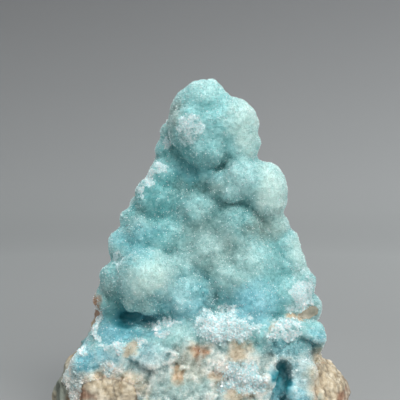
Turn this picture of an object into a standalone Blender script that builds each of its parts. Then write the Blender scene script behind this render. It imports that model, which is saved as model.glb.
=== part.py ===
"""A cabinet specimen of botryoidal hemimorphite on its limonite matrix.

Metres, +Z up, seen from -Y, standing on the flat underside of its matrix with the origin at
the middle of its foot. The outer form is one rock: two lofts, the grape-like lobes that grew on
them and a sprinkling of small lumps. It is then parted along the buried face of the limonite
into the blue crust and the brown matrix that carries it.
"""

import math
import random

import bmesh
import bpy
import numpy as np
from mathutils import Matrix, Vector
from mathutils.bvhtree import BVHTree

MM = 0.001
COLLECTION = "hemimorphite_specimen"
HELPERS = "helpers"

# Driving dimensions, in millimetres. The specimen is 94 high and 80 wide where it stands.
PART_GAP = 0.34
FUSE_VOXEL = 0.85
REGION_VOXEL = 1.6
OUTER_TRIANGLES = 8600
REGION_TRIANGLES = 1000
SPRINKLE_SEED = 11
SPRINKLE_COUNT = 170
SPRINKLE_SPACING = 3.4
SPRINKLE_LOW, SPRINKLE_HIGH = 2.0, 3.4
SPRINKLE_SUNK = 0.83
SPRINKLE_DOME_SHARE = 0.03

# Sections of the two lofts: height, left and right edge, front and back face.
PLINTH = (
    (-4, -39.5, 39.0, -24.0, 21.0),
    (3, -40.5, 39.8, -25.0, 22.5),
    (9, -39.4, 39.0, -25.4, 22.5),
    (15, -37.0, 37.2, -24.8, 21.5),
    (19, -34.6, 33.6, -24.0, 20.5),
    (22, -31.6, 32.4, -23.4, 19.5),
    (25, -29.8, 31.4, -22.2, 18.8),
    (28, -28.4, 30.6, -19.4, 18.2),
    (30, -27.6, 30.2, -16.4, 18.0),
)
BODY = (
    (18, -29.6, 32.0, -17.0, 19.5),
    (30, -27.4, 30.2, -14.6, 18.5),
    (38, -25.8, 28.6, -13.0, 17.5),
    (45, -23.6, 26.6, -11.4, 16.5),
    (52, -21.6, 23.8, -9.6, 15.0),
    (58, -19.4, 21.4, -7.8, 13.6),
    (64, -16.6, 18.6, -5.6, 12.4),
    (70, -13.4, 15.4, -3.6, 11.4),
    (76, -10.6, 11.6, -2.4, 10.0),
    (82, -7.8, 9.6, -1.6, 8.4),
    (87, -5.0, 6.6, 0.0, 6.6),
    (90.5, -2.0, 3.4, 1.6, 4.6),
)
RING_POINTS = 40
PLINTH_POWER, BODY_POWER = 3.2, 2.4

# The lobes: centre x, y, z and radius of each ball.
CROWN = (
    (1.2, -1.4, 86.9, 6.9),
    (-2.0, -1.2, 85.8, 5.6),
    (8.4, -2.6, 82.0, 7.1),
    (10.0, -3.0, 76.8, 6.0),
    (-1.8, -4.6, 80.8, 6.5),
    (1.6, -4.8, 76.4, 6.4),
    (4.2, -4.4, 81.2, 6.6),
    (-4.2, 0.4, 84.0, 4.1),
    (-6.6, 0.8, 79.0, 3.8),
    (-8.0, 1.0, 74.6, 3.8),
    (4.4, 2.2, 83.4, 5.8),
)
SHOULDER = (
    (17.4, -4.6, 66.6, 5.4),
    (18.0, -6.0, 64.8, 5.3),
    (18.2, -6.2, 62.0, 5.1),
    (11.4, -6.4, 67.2, 5.6),
    (5.2, -6.4, 65.6, 3.4),
    (1.8, -5.0, 67.4, 2.6),
    (7.8, -8.4, 64.8, 1.8),
    (13.6, -1.4, 69.8, 3.4),
)
SLOPE = (
    (9.5, -5.6, 53.0, 7.2),
    (-1.2, -4.0, 58.8, 6.2),
    (-11.4, -2.4, 61.8, 5.8),
    (-9.4, -1.8, 68.2, 4.2),
    (-17.0, -2.4, 55.8, 4.4),
    (-14.8, -7.6, 53.0, 4.2),
    (-19.2, -5.2, 49.2, 5.2),
    (-16.6, -8.2, 47.6, 4.8),
    (-8.6, -7.4, 51.0, 5.6),
    (13.8, -7.6, 43.8, 7.8),
    (22.2, -4.2, 49.4, 4.6),
    (19.8, -4.0, 54.4, 4.2),
    (1.8, -8.6, 47.2, 5.8),
    (-5.0, -10.0, 44.6, 4.6),
    (-2.4, -13.2, 36.0, 6.8),
    (14.2, -12.0, 35.4, 6.8),
    (13.0, -10.4, 39.6, 6.6),
    (6.8, -10.8, 41.4, 5.2),
    (26.0, -6.2, 39.4, 4.8),
    (23.6, -5.8, 45.0, 4.8),
    (22.6, -10.8, 36.4, 5.4),
    (28.4, -4.4, 32.6, 4.2),
    (-8.8, -13.0, 36.8, 4.4),
)
BALL = (
    (-13.8, -14.2, 42.0, 7.7),
    (-19.4, -11.4, 40.0, 4.8),
    (-20.8, -8.6, 40.6, 5.5),
    (-23.0, -6.8, 35.6, 4.9),
    (-17.6, -15.8, 35.6, 2.4),
    (-13.0, -16.0, 35.2, 2.8),
)
LEDGE = (
    (-33.4, -12.0, 15.0, 4.2),
    (-29.6, -15.0, 19.4, 4.3),
    (-25.2, -16.6, 21.4, 4.2),
    (-20.4, -17.8, 22.8, 4.2),
    (-15.4, -18.2, 23.6, 4.2),
    (-10.6, -18.0, 25.6, 4.4),
    (-5.2, -17.8, 26.6, 4.8),
    (2.2, -17.8, 28.2, 5.4),
    (9.6, -17.8, 28.6, 5.4),
    (16.2, -16.8, 26.6, 5.4),
    (23.0, -15.6, 27.2, 5.0),
    (27.8, -12.0, 26.4, 4.8),
    (26.6, -17.2, 18.4, 4.8),
    (15.4, -18.8, 16.6, 5.4),
    (4.0, -19.0, 20.0, 5.6),
    (-7.0, -18.8, 18.6, 5.6),
)

# The smooth domes, with few small lumps on them: centre and reach.
DOMES = (
    ((3.0, -2.0, 82.0), 15.0),
    ((16.0, -5.0, 65.0), 10.0),
    ((-13.8, -14.2, 42.0), 9.5),
)

# Hollows in the crust: centre, half sizes and tilt about the line of sight, in degrees.
HOLLOWS = (
    ((-18.4, -16.4, 31.4), (4.8, 8.0, 2.3), -4),
    ((-13.6, -16.0, 30.6), (3.2, 6.5, 2.2), 6),
    ((20.9, -23.6, 17.2), (3.0, 7.0, 5.4), 6),
    ((20.6, -23.4, 12.2), (3.6, 6.0, 2.6), -20),
)

# The limonite: an L-shaped slab under and behind the crust, as front height and depth, and the
# knobs of it that reach the broken front: centre and half sizes.
MATRIX_PROFILE = (
    (-34, -8), (-34, 5.5), (-20, 6.5), (-12, 16), (-5, 26), (0.5, 42),
    (3.5, 60), (4.5, 76), (6.5, 86), (10, 96), (40, 96), (40, -8),
)
MATRIX_KNOBS = (
    ((-22.4, -20.6, 9.6), (7.6, 9.0, 8.8)),
    ((-8.0, -20.0, 4.0), (7.0, 9.4, 7.4)),
    ((6.0, -20.0, 5.0), (6.0, 8.2, 8.6)),
    ((33.6, -14.0, 13.0), (5.4, 8.0, 8.8)),
    ((-28.6, 3.0, 33.4), (3.0, 3.0, 2.6)),
    ((-24.4, 8.0, 52.0), (5.0, 8.0, 18.0)),
    ((-12.6, 8.0, 74.0), (3.6, 5.0, 10.0)),
    ((27.6, -8.0, 31.8), (3.4, 7.0, 1.5)),
)
MATRIX_HALF_WIDTH = 44
NUB = ((-28.0, 3.4, 34.0), (1.5, 1.6, 1.8))
NUB_STALK = ((-28.6, 3.2, 30.2), (0.9, 1.2, 3.2))

# Facets of the broken rock, coarse and fine, and the low grain of the grown crust: the scale and
# depth of each. The buried face of the limonite waves in and out by this much.
COARSE_CELL, COARSE_DEPTH = 12.0, 3.6
FINE_CELL, FINE_DEPTH = 5.0, 1.5
GRAIN_CELL, GRAIN_DEPTH = 2.6, 0.25
WAVE_DEPTH = 1.0

CRUST_COLOUR = (0.30, 0.60, 0.62, 1.0)
MATRIX_COLOUR = (0.42, 0.27, 0.15, 1.0)


def clear_scene():
    for old in list(bpy.data.objects):
        bpy.data.objects.remove(old, do_unlink=True)


def make_collection(name):
    made = bpy.data.collections.new(name)
    bpy.context.scene.collection.children.link(made)
    return made


def make_material(name, colour, roughness):
    material = bpy.data.materials.new(name)
    material.use_nodes = True
    shader = material.node_tree.nodes["Principled BSDF"]
    shader.inputs["Base Color"].default_value = colour
    shader.inputs["Roughness"].default_value = roughness
    shader.inputs["Metallic"].default_value = 0.0
    return material


def object_of(bm, name, collection):
    mesh = bpy.data.meshes.new(name)
    bm.to_mesh(mesh)
    bm.free()
    made = bpy.data.objects.new(name, mesh)
    collection.objects.link(made)
    return made


def as_helper(obj):
    obj.hide_render = True
    obj.display_type = "WIRE"
    return obj


def placed(centre, half_sizes, tilt=0.0):
    """The matrix that makes a unit ball an ellipsoid there, in millimetres turned to metres."""
    turned = Matrix.Rotation(math.radians(tilt), 4, "Y")
    scaled = Matrix.Diagonal((*[size * MM for size in half_sizes], 1.0))
    return Matrix.Translation(Vector(centre) * MM) @ turned @ scaled


def add_ball(bm, centre, half_sizes, tilt=0.0, detail=3):
    where = placed(centre, half_sizes, tilt)
    bmesh.ops.create_icosphere(bm, subdivisions=detail, radius=1.0, matrix=where)


def add_loft(bm, sections, power):
    """A closed loft through superellipse sections."""
    rings = []
    for height, left, right, front, back in sections:
        middle = Vector(((left + right) / 2, (front + back) / 2, height)) * MM
        half_x, half_y = (right - left) / 2 * MM, (back - front) / 2 * MM
        ring = []
        for k in range(RING_POINTS):
            c, s = math.cos(math.tau * k / RING_POINTS), math.sin(math.tau * k / RING_POINTS)
            reach = (abs(c) ** power + abs(s) ** power) ** (-1 / power)
            ring.append(bm.verts.new(middle + Vector((c * reach * half_x, s * reach * half_y, 0))))
        rings.append(ring)
    for low, high in zip(rings, rings[1:]):
        for k in range(RING_POINTS):
            after = (k + 1) % RING_POINTS
            bm.faces.new((low[k], low[after], high[after], high[k]))
    bm.faces.new(list(reversed(rings[0])))
    bm.faces.new(rings[-1])


def evaluated_mesh(obj):
    bpy.context.view_layer.update()
    graph = bpy.context.evaluated_depsgraph_get()
    return bpy.data.meshes.new_from_object(obj.evaluated_get(graph))


def apply_modifiers(obj):
    made = evaluated_mesh(obj)
    obj.modifiers.clear()
    obj.data = made
    return obj


def melt(obj, steps):
    """Smooths the creases of a skin a little."""
    smooth = obj.modifiers.new("melt", "SMOOTH")
    smooth.factor = 0.5
    smooth.iterations = steps
    return apply_modifiers(obj)


def fuse(obj, voxel, smoothing):
    """Makes one skin of overlapping closed shapes and melts its creases a little."""
    remesh = obj.modifiers.new("fuse", "REMESH")
    remesh.mode = "VOXEL"
    remesh.voxel_size = voxel * MM
    apply_modifiers(obj)
    return melt(obj, smoothing)


def thin_out(obj, triangles):
    """Drops triangles where the form is plain, down to about this many."""
    obj.data.calc_loop_triangles()
    decimate = obj.modifiers.new("thin_out", "DECIMATE")
    decimate.ratio = min(1.0, triangles / len(obj.data.loop_triangles))
    decimate.use_collapse_triangulate = True
    return apply_modifiers(obj)


def boolean(obj, other, operation):
    cut = obj.modifiers.new(operation.lower(), "BOOLEAN")
    cut.operation = operation
    cut.solver = "MANIFOLD"
    cut.object = other
    return apply_modifiers(obj)


def keep_largest_body(obj):
    """Drops the crumbs that a parting cut leaves beside the piece."""
    bm = bmesh.new()
    bm.from_mesh(obj.data)
    bm.verts.ensure_lookup_table()
    unseen = set(bm.verts)
    bodies = []
    while unseen:
        front = [unseen.pop()]
        body = set(front)
        while front:
            reached = front.pop()
            for edge in reached.link_edges:
                other = edge.other_vert(reached)
                if other in unseen:
                    unseen.discard(other)
                    body.add(other)
                    front.append(other)
        bodies.append(body)
    bodies.sort(key=len, reverse=True)
    crumbs = [v for body in bodies[1:] for v in body]
    bmesh.ops.delete(bm, geom=crumbs, context="VERTS")
    bm.to_mesh(obj.data)
    bm.free()


def sprinkled_lumps(tree):
    """Small lumps all over the grown front, top and flanks, each half sunk in what it grew on."""
    rng = random.Random(SPRINKLE_SEED)
    lumps = []
    tries = 0
    while len(lumps) < SPRINKLE_COUNT and tries < 40 * SPRINKLE_COUNT:
        tries += 1
        height = rng.uniform(30, 93)
        turn = math.radians(rng.uniform(-115, 115))
        lift = math.radians(rng.uniform(-10, 50))
        level = math.cos(lift)
        outwards = Vector((math.sin(turn) * level, -math.cos(turn) * level, math.sin(lift)))
        aim = Vector((rng.uniform(-8, 10) * (1 - height / 120), 2.0, height)) * MM
        hit, normal, _, _ = tree.ray_cast(aim + outwards * 0.12, -outwards)
        radius = rng.uniform(SPRINKLE_LOW, SPRINKLE_HIGH)
        kept_on_dome = rng.random() < SPRINKLE_DOME_SHARE
        if hit is None or hit.z < 27 * MM or hit.y > 7 * MM:
            continue
        on_dome = any((hit - Vector(at) * MM).length < reach * MM for at, reach in DOMES)
        if on_dome and not kept_on_dome:
            continue
        if any((hit - spot).length < SPRINKLE_SPACING * MM for spot, _, _ in lumps):
            continue
        lumps.append((hit, normal, radius))
    return [(spot / MM - normal * radius * SPRINKLE_SUNK, radius) for spot, normal, radius in lumps]


def crust_share(points):
    """For each point in metres: 1 on the grown blue crust, 0 on broken limonite."""
    x, y, z = (points / MM).T
    behind = np.clip((y + 1 - 0.03 * z) / 4, 0, 1)
    rim = np.clip(32.4 + 0.35 * x, 22, 31)
    low = np.clip((rim - z) / 5, 0, 1)
    return np.clip(1 - np.maximum(behind, low), 0, 1)


def cells(points, size, seed):
    """Worley cells: for each point the nearest feature point's offset and a random number."""
    grid = points / (size * MM)
    base = np.floor(grid).astype(np.int64)
    best = np.full(len(points), np.inf)
    offset = np.zeros_like(points)
    chance = np.zeros((len(points), 3))
    steps = [(i, j, k) for i in (-1, 0, 1) for j in (-1, 0, 1) for k in (-1, 0, 1)]
    for step in steps:
        cell = base + np.array(step)
        draws = []
        for lane in range(6):
            key = cell[:, 0] * 73856093 ^ cell[:, 1] * 19349663 ^ cell[:, 2] * 83492791
            key = (key + seed * 7919 + lane * 104729) & 0x7FFFFFFF
            draws.append(np.modf(np.abs(np.sin(key % 100003 * 12.9898) * 43758.5453))[0])
        feature = cell + np.stack(draws[:3], 1)
        apart = grid - feature
        distance = np.linalg.norm(apart, axis=1)
        nearer = distance < best
        best[nearer] = distance[nearer]
        offset[nearer] = apart[nearer]
        chance[nearer] = np.stack(draws[3:], 1)[nearer]
    return best, offset, chance


def facets(points, size, seed):
    """Tilted flat faces of broken rock, one to a cell, as heights about zero."""
    _, offset, chance = cells(points, size, seed)
    return ((chance - 0.5) * offset).sum(1) + 0.5 * (chance[:, 0] - 0.5)


def push_out(obj, depth_at):
    """Moves every vertex along its normal by what depth_at gives for it, in millimetres."""
    mesh = obj.data
    points = np.empty(len(mesh.vertices) * 3)
    normals = np.empty(len(mesh.vertices) * 3)
    mesh.vertices.foreach_get("co", points)
    mesh.vertices.foreach_get("normal", normals)
    points = points.reshape(-1, 3)
    depth = depth_at(points)
    points = points + normals.reshape(-1, 3) * (depth * MM)[:, None]
    mesh.vertices.foreach_set("co", points.ravel())
    mesh.update()


def relief(points):
    """Broken facets on the limonite, a low grain on the crust."""
    crust = crust_share(points)
    coarse = facets(points, COARSE_CELL, 3) * COARSE_DEPTH
    fine = facets(points, FINE_CELL, 4) * FINE_DEPTH
    nearest, _, _ = cells(points, GRAIN_CELL, 5)
    grain = (0.5 - nearest) * GRAIN_DEPTH
    return (1 - crust) * (coarse + fine) + (0.4 + 0.6 * crust) * grain


def waves(points):
    """The gentle waves of the limonite's buried face."""
    x, _, z = (points / MM).T
    return (np.sin(x / 4.3 + z / 6.1) + np.sin(z / 3.7 - x / 9 + 2)) * WAVE_DEPTH


def outer_form(helpers):
    """The whole rock, crust and matrix together, cut flat where it stands."""
    bm = bmesh.new()
    add_loft(bm, PLINTH, PLINTH_POWER)
    add_loft(bm, BODY, BODY_POWER)
    for group in (CROWN, SHOULDER, SLOPE, BALL, LEDGE):
        for x, y, z, radius in group:
            add_ball(bm, (x, y, z), (radius,) * 3)
    for centre, half_sizes in (NUB, NUB_STALK):
        add_ball(bm, centre, half_sizes)
    lumps = sprinkled_lumps(BVHTree.FromBMesh(bm))
    rock = as_helper(object_of(bm, "outer_form", helpers))
    fuse(rock, FUSE_VOXEL, 13)
    bm = bmesh.new()
    bm.from_mesh(rock.data)
    for centre, radius in lumps:
        add_ball(bm, centre, (radius,) * 3, detail=2)
    bm.to_mesh(rock.data)
    bm.free()
    fuse(rock, FUSE_VOXEL, 3)
    for k, (centre, half_sizes, tilt) in enumerate(HOLLOWS):
        cutter_mesh = bmesh.new()
        add_ball(cutter_mesh, centre, half_sizes, tilt)
        cutter = as_helper(object_of(cutter_mesh, f"hollow_{k + 1}", helpers))
        boolean(rock, cutter, "DIFFERENCE")
    fuse(rock, FUSE_VOXEL, 1)
    push_out(rock, relief)
    melt(rock, 2)
    thin_out(rock, OUTER_TRIANGLES)
    cut_flat(rock)
    return rock


def cut_flat(obj):
    """Slices the foot off at z = 0 and closes it with one flat face."""
    bm = bmesh.new()
    bm.from_mesh(obj.data)
    everything = bm.verts[:] + bm.edges[:] + bm.faces[:]
    foot = {"plane_co": (0, 0, 0), "plane_no": (0, 0, 1)}
    bmesh.ops.bisect_plane(bm, geom=everything, clear_inner=True, **foot)
    rim = [edge for edge in bm.edges if edge.is_boundary]
    bmesh.ops.contextual_create(bm, geom=rim)
    bmesh.ops.recalc_face_normals(bm, faces=bm.faces[:])
    bm.to_mesh(obj.data)
    bm.free()


def matrix_region(helpers, grow, name):
    """The space that the limonite fills, grown by this much."""
    outline = bpy.data.curves.new(name + "_outline", "CURVE")
    outline.dimensions = "2D"
    outline.fill_mode = "BOTH"
    outline.extrude = MATRIX_HALF_WIDTH * MM
    spline = outline.splines.new("POLY")
    spline.use_cyclic_u = True
    spline.points.add(len(MATRIX_PROFILE) - 1)
    for point, (depth, height) in zip(spline.points, MATRIX_PROFILE):
        point.co = (depth * MM, height * MM, 0, 1)
    slab = bpy.data.objects.new(name + "_slab", outline)
    helpers.objects.link(slab)
    slab.rotation_euler = (math.radians(90), 0, math.radians(90))
    slab_mesh = evaluated_mesh(slab)
    slab_mesh.transform(slab.matrix_world)
    bm = bmesh.new()
    bm.from_mesh(slab_mesh)
    bmesh.ops.remove_doubles(bm, verts=bm.verts[:], dist=0.01 * MM)
    bpy.data.objects.remove(slab)
    for centre, half_sizes in (*MATRIX_KNOBS, NUB, NUB_STALK):
        add_ball(bm, centre, half_sizes)
    region = as_helper(object_of(bm, name, helpers))
    fuse(region, REGION_VOXEL, 3)
    push_out(region, waves)
    thin_out(region, REGION_TRIANGLES)
    push_out(region, lambda points: np.full(len(points), grow))
    return region


def part_piece(rock, region, operation, name, material, collection):
    piece = bpy.data.objects.new(name, rock.data.copy())
    collection.objects.link(piece)
    boolean(piece, region, operation)
    keep_largest_body(piece)
    piece.data.materials.clear()
    piece.data.materials.append(material)
    piece.data.shade_flat()
    return piece


def centre_on_foot(pieces):
    """Puts the origin under the middle of the whole specimen's box, at its foot."""
    corners = [v.co for piece in pieces for v in piece.data.vertices]
    low = [min(c[k] for c in corners) for k in range(3)]
    high = [max(c[k] for c in corners) for k in range(3)]
    for piece in pieces:
        piece.location = (-(low[0] + high[0]) / 2, -(low[1] + high[1]) / 2, -low[2])
    print("origin moved by, mm:", [round(v / MM, 2) for v in pieces[0].location])


def main():
    clear_scene()
    shown = make_collection(COLLECTION)
    helpers = make_collection(HELPERS)
    rock = outer_form(helpers)
    buried = matrix_region(helpers, 0, "matrix_region")
    grown = matrix_region(helpers, PART_GAP, "matrix_region_grown")
    crust_finish = make_material("blue_crust", CRUST_COLOUR, 0.35)
    matrix_finish = make_material("limonite", MATRIX_COLOUR, 0.85)
    crust = part_piece(rock, grown, "DIFFERENCE", "hemimorphite_crust", crust_finish, shown)
    matrix = part_piece(rock, buried, "INTERSECT", "limonite_matrix", matrix_finish, shown)
    centre_on_foot([crust, matrix])
    for piece in (crust, matrix):
        piece.data.calc_loop_triangles()
        print(piece.name, len(piece.data.loop_triangles), "triangles")


main()
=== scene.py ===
"""The looks of the hemimorphite specimen: its druse, its broken limonite, and the studio round it."""

import math
import random

import bmesh
import bpy
import numpy as np
from mathutils import Matrix, Vector
from mathutils.bvhtree import BVHTree
from mathutils.kdtree import KDTree


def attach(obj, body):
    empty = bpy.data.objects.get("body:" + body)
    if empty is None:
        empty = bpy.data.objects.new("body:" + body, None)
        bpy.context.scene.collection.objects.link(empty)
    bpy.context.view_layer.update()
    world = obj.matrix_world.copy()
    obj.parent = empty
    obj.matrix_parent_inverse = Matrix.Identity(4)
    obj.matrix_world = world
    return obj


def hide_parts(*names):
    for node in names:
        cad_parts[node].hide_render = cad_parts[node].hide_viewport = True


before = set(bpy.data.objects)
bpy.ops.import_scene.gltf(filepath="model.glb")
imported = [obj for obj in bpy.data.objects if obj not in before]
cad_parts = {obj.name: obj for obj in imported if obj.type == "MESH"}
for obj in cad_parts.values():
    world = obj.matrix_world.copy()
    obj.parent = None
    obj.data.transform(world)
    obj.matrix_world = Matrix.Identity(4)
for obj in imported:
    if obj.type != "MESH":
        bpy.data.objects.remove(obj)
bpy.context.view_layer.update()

MM = 0.001

# The form below repeats the source of the solids, in the same millimetres. The solids' origin
# was moved by this much to stand under the middle of their box.
ORIGIN_MOVE = (0.19, 1.32, 0.0)

# The voxels of the form, of its skin and of the limonite's region, how often each stage is
# smoothed, and how far the crust keeps off the limonite.
FORM_VOXEL, FORM_SMOOTHING = 0.8, 14
SKIN_VOXEL, LUMP_SMOOTHING, HOLLOW_SMOOTHING = 0.36, 12, 3
COARSE_SMOOTHING, FINE_SMOOTHING = 6, 1
REGION_VOXEL, REGION_SMOOTHING = 1.1, 4
SEAM = 0.05
BALL_DETAIL, LUMP_DETAIL = 4, 3

# The small lumps sprinkled over the grown crust: how many, how far apart, their least and most
# radius, how deep they are sunk as a share of it, and the share of them that stays on a dome.
SPRINKLE_SEED = 11
SPRINKLE_COUNT = 170
SPRINKLE_TRIES = 40 * SPRINKLE_COUNT
SPRINKLE_SPACING = 3.4
SPRINKLE_LOW, SPRINKLE_HIGH = 2.0, 3.4
SPRINKLE_SUNK = 0.83
SPRINKLE_DOME_SHARE = 0.03

# Each lump is shot at a point inside the form: its height, its way to the side, which narrows
# with height, its depth, and the turn and lift of the shot in degrees. The shot starts this many
# metres out, and a lump stays only above and in front of the last two.
SHOT_HEIGHTS = (30, 93)
SHOT_SIDES, SHOT_NARROWING = (-8, 10), 120
SHOT_DEPTH = 2.0
SHOT_TURNS = (-115, 115)
SHOT_LIFTS = (-10, 50)
SHOT_START = 0.12
LOWEST_LUMP, LAST_LUMP_DEPTH = 27, 7

# Sections of the two lofts: height, left and right edge, front and back face.
PLINTH = (
    (-4, -39.5, 39, -24, 21),
    (3, -40.5, 39.8, -25, 22.5),
    (9, -39.4, 39, -25.4, 22.5),
    (15, -37, 37.2, -24.8, 21.5),
    (19, -34.6, 33.6, -24, 20.5),
    (22, -31.6, 32.4, -23.4, 19.5),
    (25, -29.8, 31.4, -22.2, 18.8),
    (28, -28.4, 30.6, -19.4, 18.2),
    (30, -27.6, 30.2, -16.4, 18),
)
BODY = (
    (18, -29.6, 32, -17, 19.5),
    (30, -27.4, 30.2, -14.6, 18.5),
    (38, -25.8, 28.6, -13, 17.5),
    (45, -23.6, 26.6, -11.4, 16.5),
    (52, -21.6, 23.8, -9.6, 15),
    (58, -19.4, 21.4, -7.8, 13.6),
    (64, -16.6, 18.6, -5.6, 12.4),
    (70, -13.4, 15.4, -3.6, 11.4),
    (76, -10.6, 11.6, -2.4, 10),
    (82, -7.8, 9.6, -1.6, 8.4),
    (87, -5, 6.6, 0, 6.6),
    (90.5, -2, 3.4, 1.6, 4.6),
)
RING_POINTS = 40
PLINTH_POWER, BODY_POWER = 3.2, 2.4

# The lobes: centre x, y, z and radius of each ball.
CROWN = (
    (1.2, -1.4, 86.9, 6.9),
    (-2, -1.2, 85.8, 5.6),
    (8.4, -2.6, 82, 7.1),
    (10, -3, 76.8, 6),
    (-1.8, -4.6, 80.8, 6.5),
    (1.6, -4.8, 76.4, 6.4),
    (4.2, -4.4, 81.2, 6.6),
    (-4.2, 0.4, 84, 4.1),
    (-6.6, 0.8, 79, 3.8),
    (-8, 1, 74.6, 3.8),
    (4.4, 2.2, 83.4, 5.8),
)
SHOULDER = (
    (17.4, -4.6, 66.6, 5.4),
    (18, -6, 64.8, 5.3),
    (18.2, -6.2, 62, 5.1),
    (11.4, -6.4, 67.2, 5.6),
    (5.2, -6.4, 65.6, 3.4),
    (1.8, -5, 67.4, 2.6),
    (7.8, -8.4, 64.8, 1.8),
    (13.6, -1.4, 69.8, 3.4),
)
SLOPE = (
    (9.5, -5.6, 53, 7.2),
    (-1.2, -4, 58.8, 6.2),
    (-11.4, -2.4, 61.8, 5.8),
    (-9.4, -1.8, 68.2, 4.2),
    (-17, -2.4, 55.8, 4.4),
    (-14.8, -7.6, 53, 4.2),
    (-19.2, -5.2, 49.2, 5.2),
    (-16.6, -8.2, 47.6, 4.8),
    (-8.6, -7.4, 51, 5.6),
    (13.8, -7.6, 43.8, 7.8),
    (22.2, -4.2, 49.4, 4.6),
    (19.8, -4, 54.4, 4.2),
    (1.8, -8.6, 47.2, 5.8),
    (-5, -10, 44.6, 4.6),
    (-2.4, -13.2, 36, 6.8),
    (14.2, -12, 35.4, 6.8),
    (13, -10.4, 39.6, 6.6),
    (6.8, -10.8, 41.4, 5.2),
    (26, -6.2, 39.4, 4.8),
    (23.6, -5.8, 45, 4.8),
    (22.6, -10.8, 36.4, 5.4),
    (28.4, -4.4, 32.6, 4.2),
    (-8.8, -13, 36.8, 4.4),
)
BALL = (
    (-13.8, -14.2, 42, 7.7),
    (-19.4, -11.4, 40, 4.8),
    (-20.8, -8.6, 40.6, 5.5),
    (-23, -6.8, 35.6, 4.9),
    (-17.6, -15.8, 35.6, 2.4),
    (-13, -16, 35.2, 2.8),
)
LEDGE = (
    (-33.4, -12, 15, 4.2),
    (-29.6, -15, 19.4, 4.3),
    (-25.2, -16.6, 21.4, 4.2),
    (-20.4, -17.8, 22.8, 4.2),
    (-15.4, -18.2, 23.6, 4.2),
    (-10.6, -18, 25.6, 4.4),
    (-5.2, -17.8, 26.6, 4.8),
    (2.2, -17.8, 28.2, 5.4),
    (9.6, -17.8, 28.6, 5.4),
    (16.2, -16.8, 26.6, 5.4),
    (23, -15.6, 27.2, 5),
    (27.8, -12, 26.4, 4.8),
    (26.6, -17.2, 18.4, 4.8),
    (15.4, -18.8, 16.6, 5.4),
    (4, -19, 20, 5.6),
    (-7, -18.8, 18.6, 5.6),
)
# The smooth domes, with few small lumps on them: centre and reach.
DOMES = (
    ((3, -2, 82), 15),
    ((16, -5, 65), 10),
    ((-13.8, -14.2, 42), 9.5),
)

# The hollows cut out of the skin: centre, half sizes and tilt in degrees.
HOLLOWS = (
    ((-18.4, -16.4, 31.4), (4.8, 8, 2.3), -4),
    ((-13.6, -16, 30.6), (3.2, 6.5, 2.2), 6),
    ((20.9, -23.6, 17.2), (3, 7, 5.4), 6),
    ((20.6, -23.4, 12.2), (3.6, 6, 2.6), -20),
)

# The limonite: an L-shaped slab under and behind the crust, as front height and depth, and the
# knobs of it that reach the broken front.
MATRIX_PROFILE = (
    (-34, -8), (-34, 5.5), (-20, 6.5), (-12, 16), (-5, 26), (0.5, 42),
    (3.5, 60), (4.5, 76), (6.5, 86), (10, 96), (40, 96), (40, -8),
)
MATRIX_KNOBS = (
    ((-22.4, -20.6, 9.6), (7.6, 9, 8.8)),
    ((-8, -20, 4), (7, 9.4, 7.4)),
    ((6, -20, 5), (6, 8.2, 8.6)),
    ((33.6, -14, 13), (5.4, 8, 8.8)),
    ((-28.6, 3, 33.4), (3, 3, 2.6)),
    ((-24.4, 8, 52), (5, 8, 18)),
    ((-12.6, 8, 74), (3.6, 5, 10)),
    ((27.6, -8, 31.8), (3.4, 7, 1.5)),
)
# The part of the profile that is the limonite's buried face.
MATRIX_FACE = slice(1, 10)
MATRIX_HALF_WIDTH = 44
NUB = ((-28.0, 3.4, 34.0), (1.5, 1.6, 1.8))
NUB_STALK = ((-28.6, 3.2, 30.2), (0.9, 1.2, 3.2))

# The buried face's two waves, as lengths along x and z, and the turn of the second one.
FIRST_WAVE = (4.3, 6.1)
SECOND_WAVE, SECOND_WAVE_TURN = (9, 3.7), 2
WAVE_DEPTH = 1.0

# Where the grown crust gives way to broken rock: behind a leaning face, and below a slanting rim.
BACK_FACE, BACK_LEAN, BACK_FADE = -1, 0.03, 4
RIM_HEIGHT, RIM_SLANT, RIM_LOWEST, RIM_HIGHEST, RIM_FADE = 32.4, 0.35, 22, 31, 5

# Kinds of relief, each as cell size, depth and seed. The solids have the first two as well.
COARSE_FACETS = (12.0, 3.6, 3)
FINE_FACETS = (5.0, 1.5, 4)
BLOCKS = (3.4, 0.56, 28)
CHIPS = (1.7, 0.38, 24)
CRUMBS = (0.9, 0.20, 29)
ROUGHNESS = (0.9, 0.35, 27)
WAVE_EDGES = ((3.0, 2.2, 31), (1.4, 0.8, 32))
BUDS, BUD_LEVEL = (2.2, 0.40, 21), 0.32
GRAIN, GRAIN_LEVEL = (1.0, 0.32, 22), 0.3
PITS, PIT_REACH = (2.8, 1.04, 25), 0.42

# Patches in which buds swell and pits lie, as cell size and seed.
SWELL_PATCHES, SWELL_LEAST, SWELL_MORE = (9.0, 23), 0.35, 0.65
PIT_PATCHES, PIT_FREE_SHARE = (7.0, 26), 0.45

# What turns a cell's place into its random numbers.
CELL_PRIMES = (73856093, 19349663, 83492791)
SEED_PRIME, LANE_PRIME = 7919, 104729
LARGEST_KEY, KEY_WRAP = 0x7FFFFFFF, 100003
SINE_TURN, SINE_SCALE = 12.9898, 43758.5453

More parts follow.
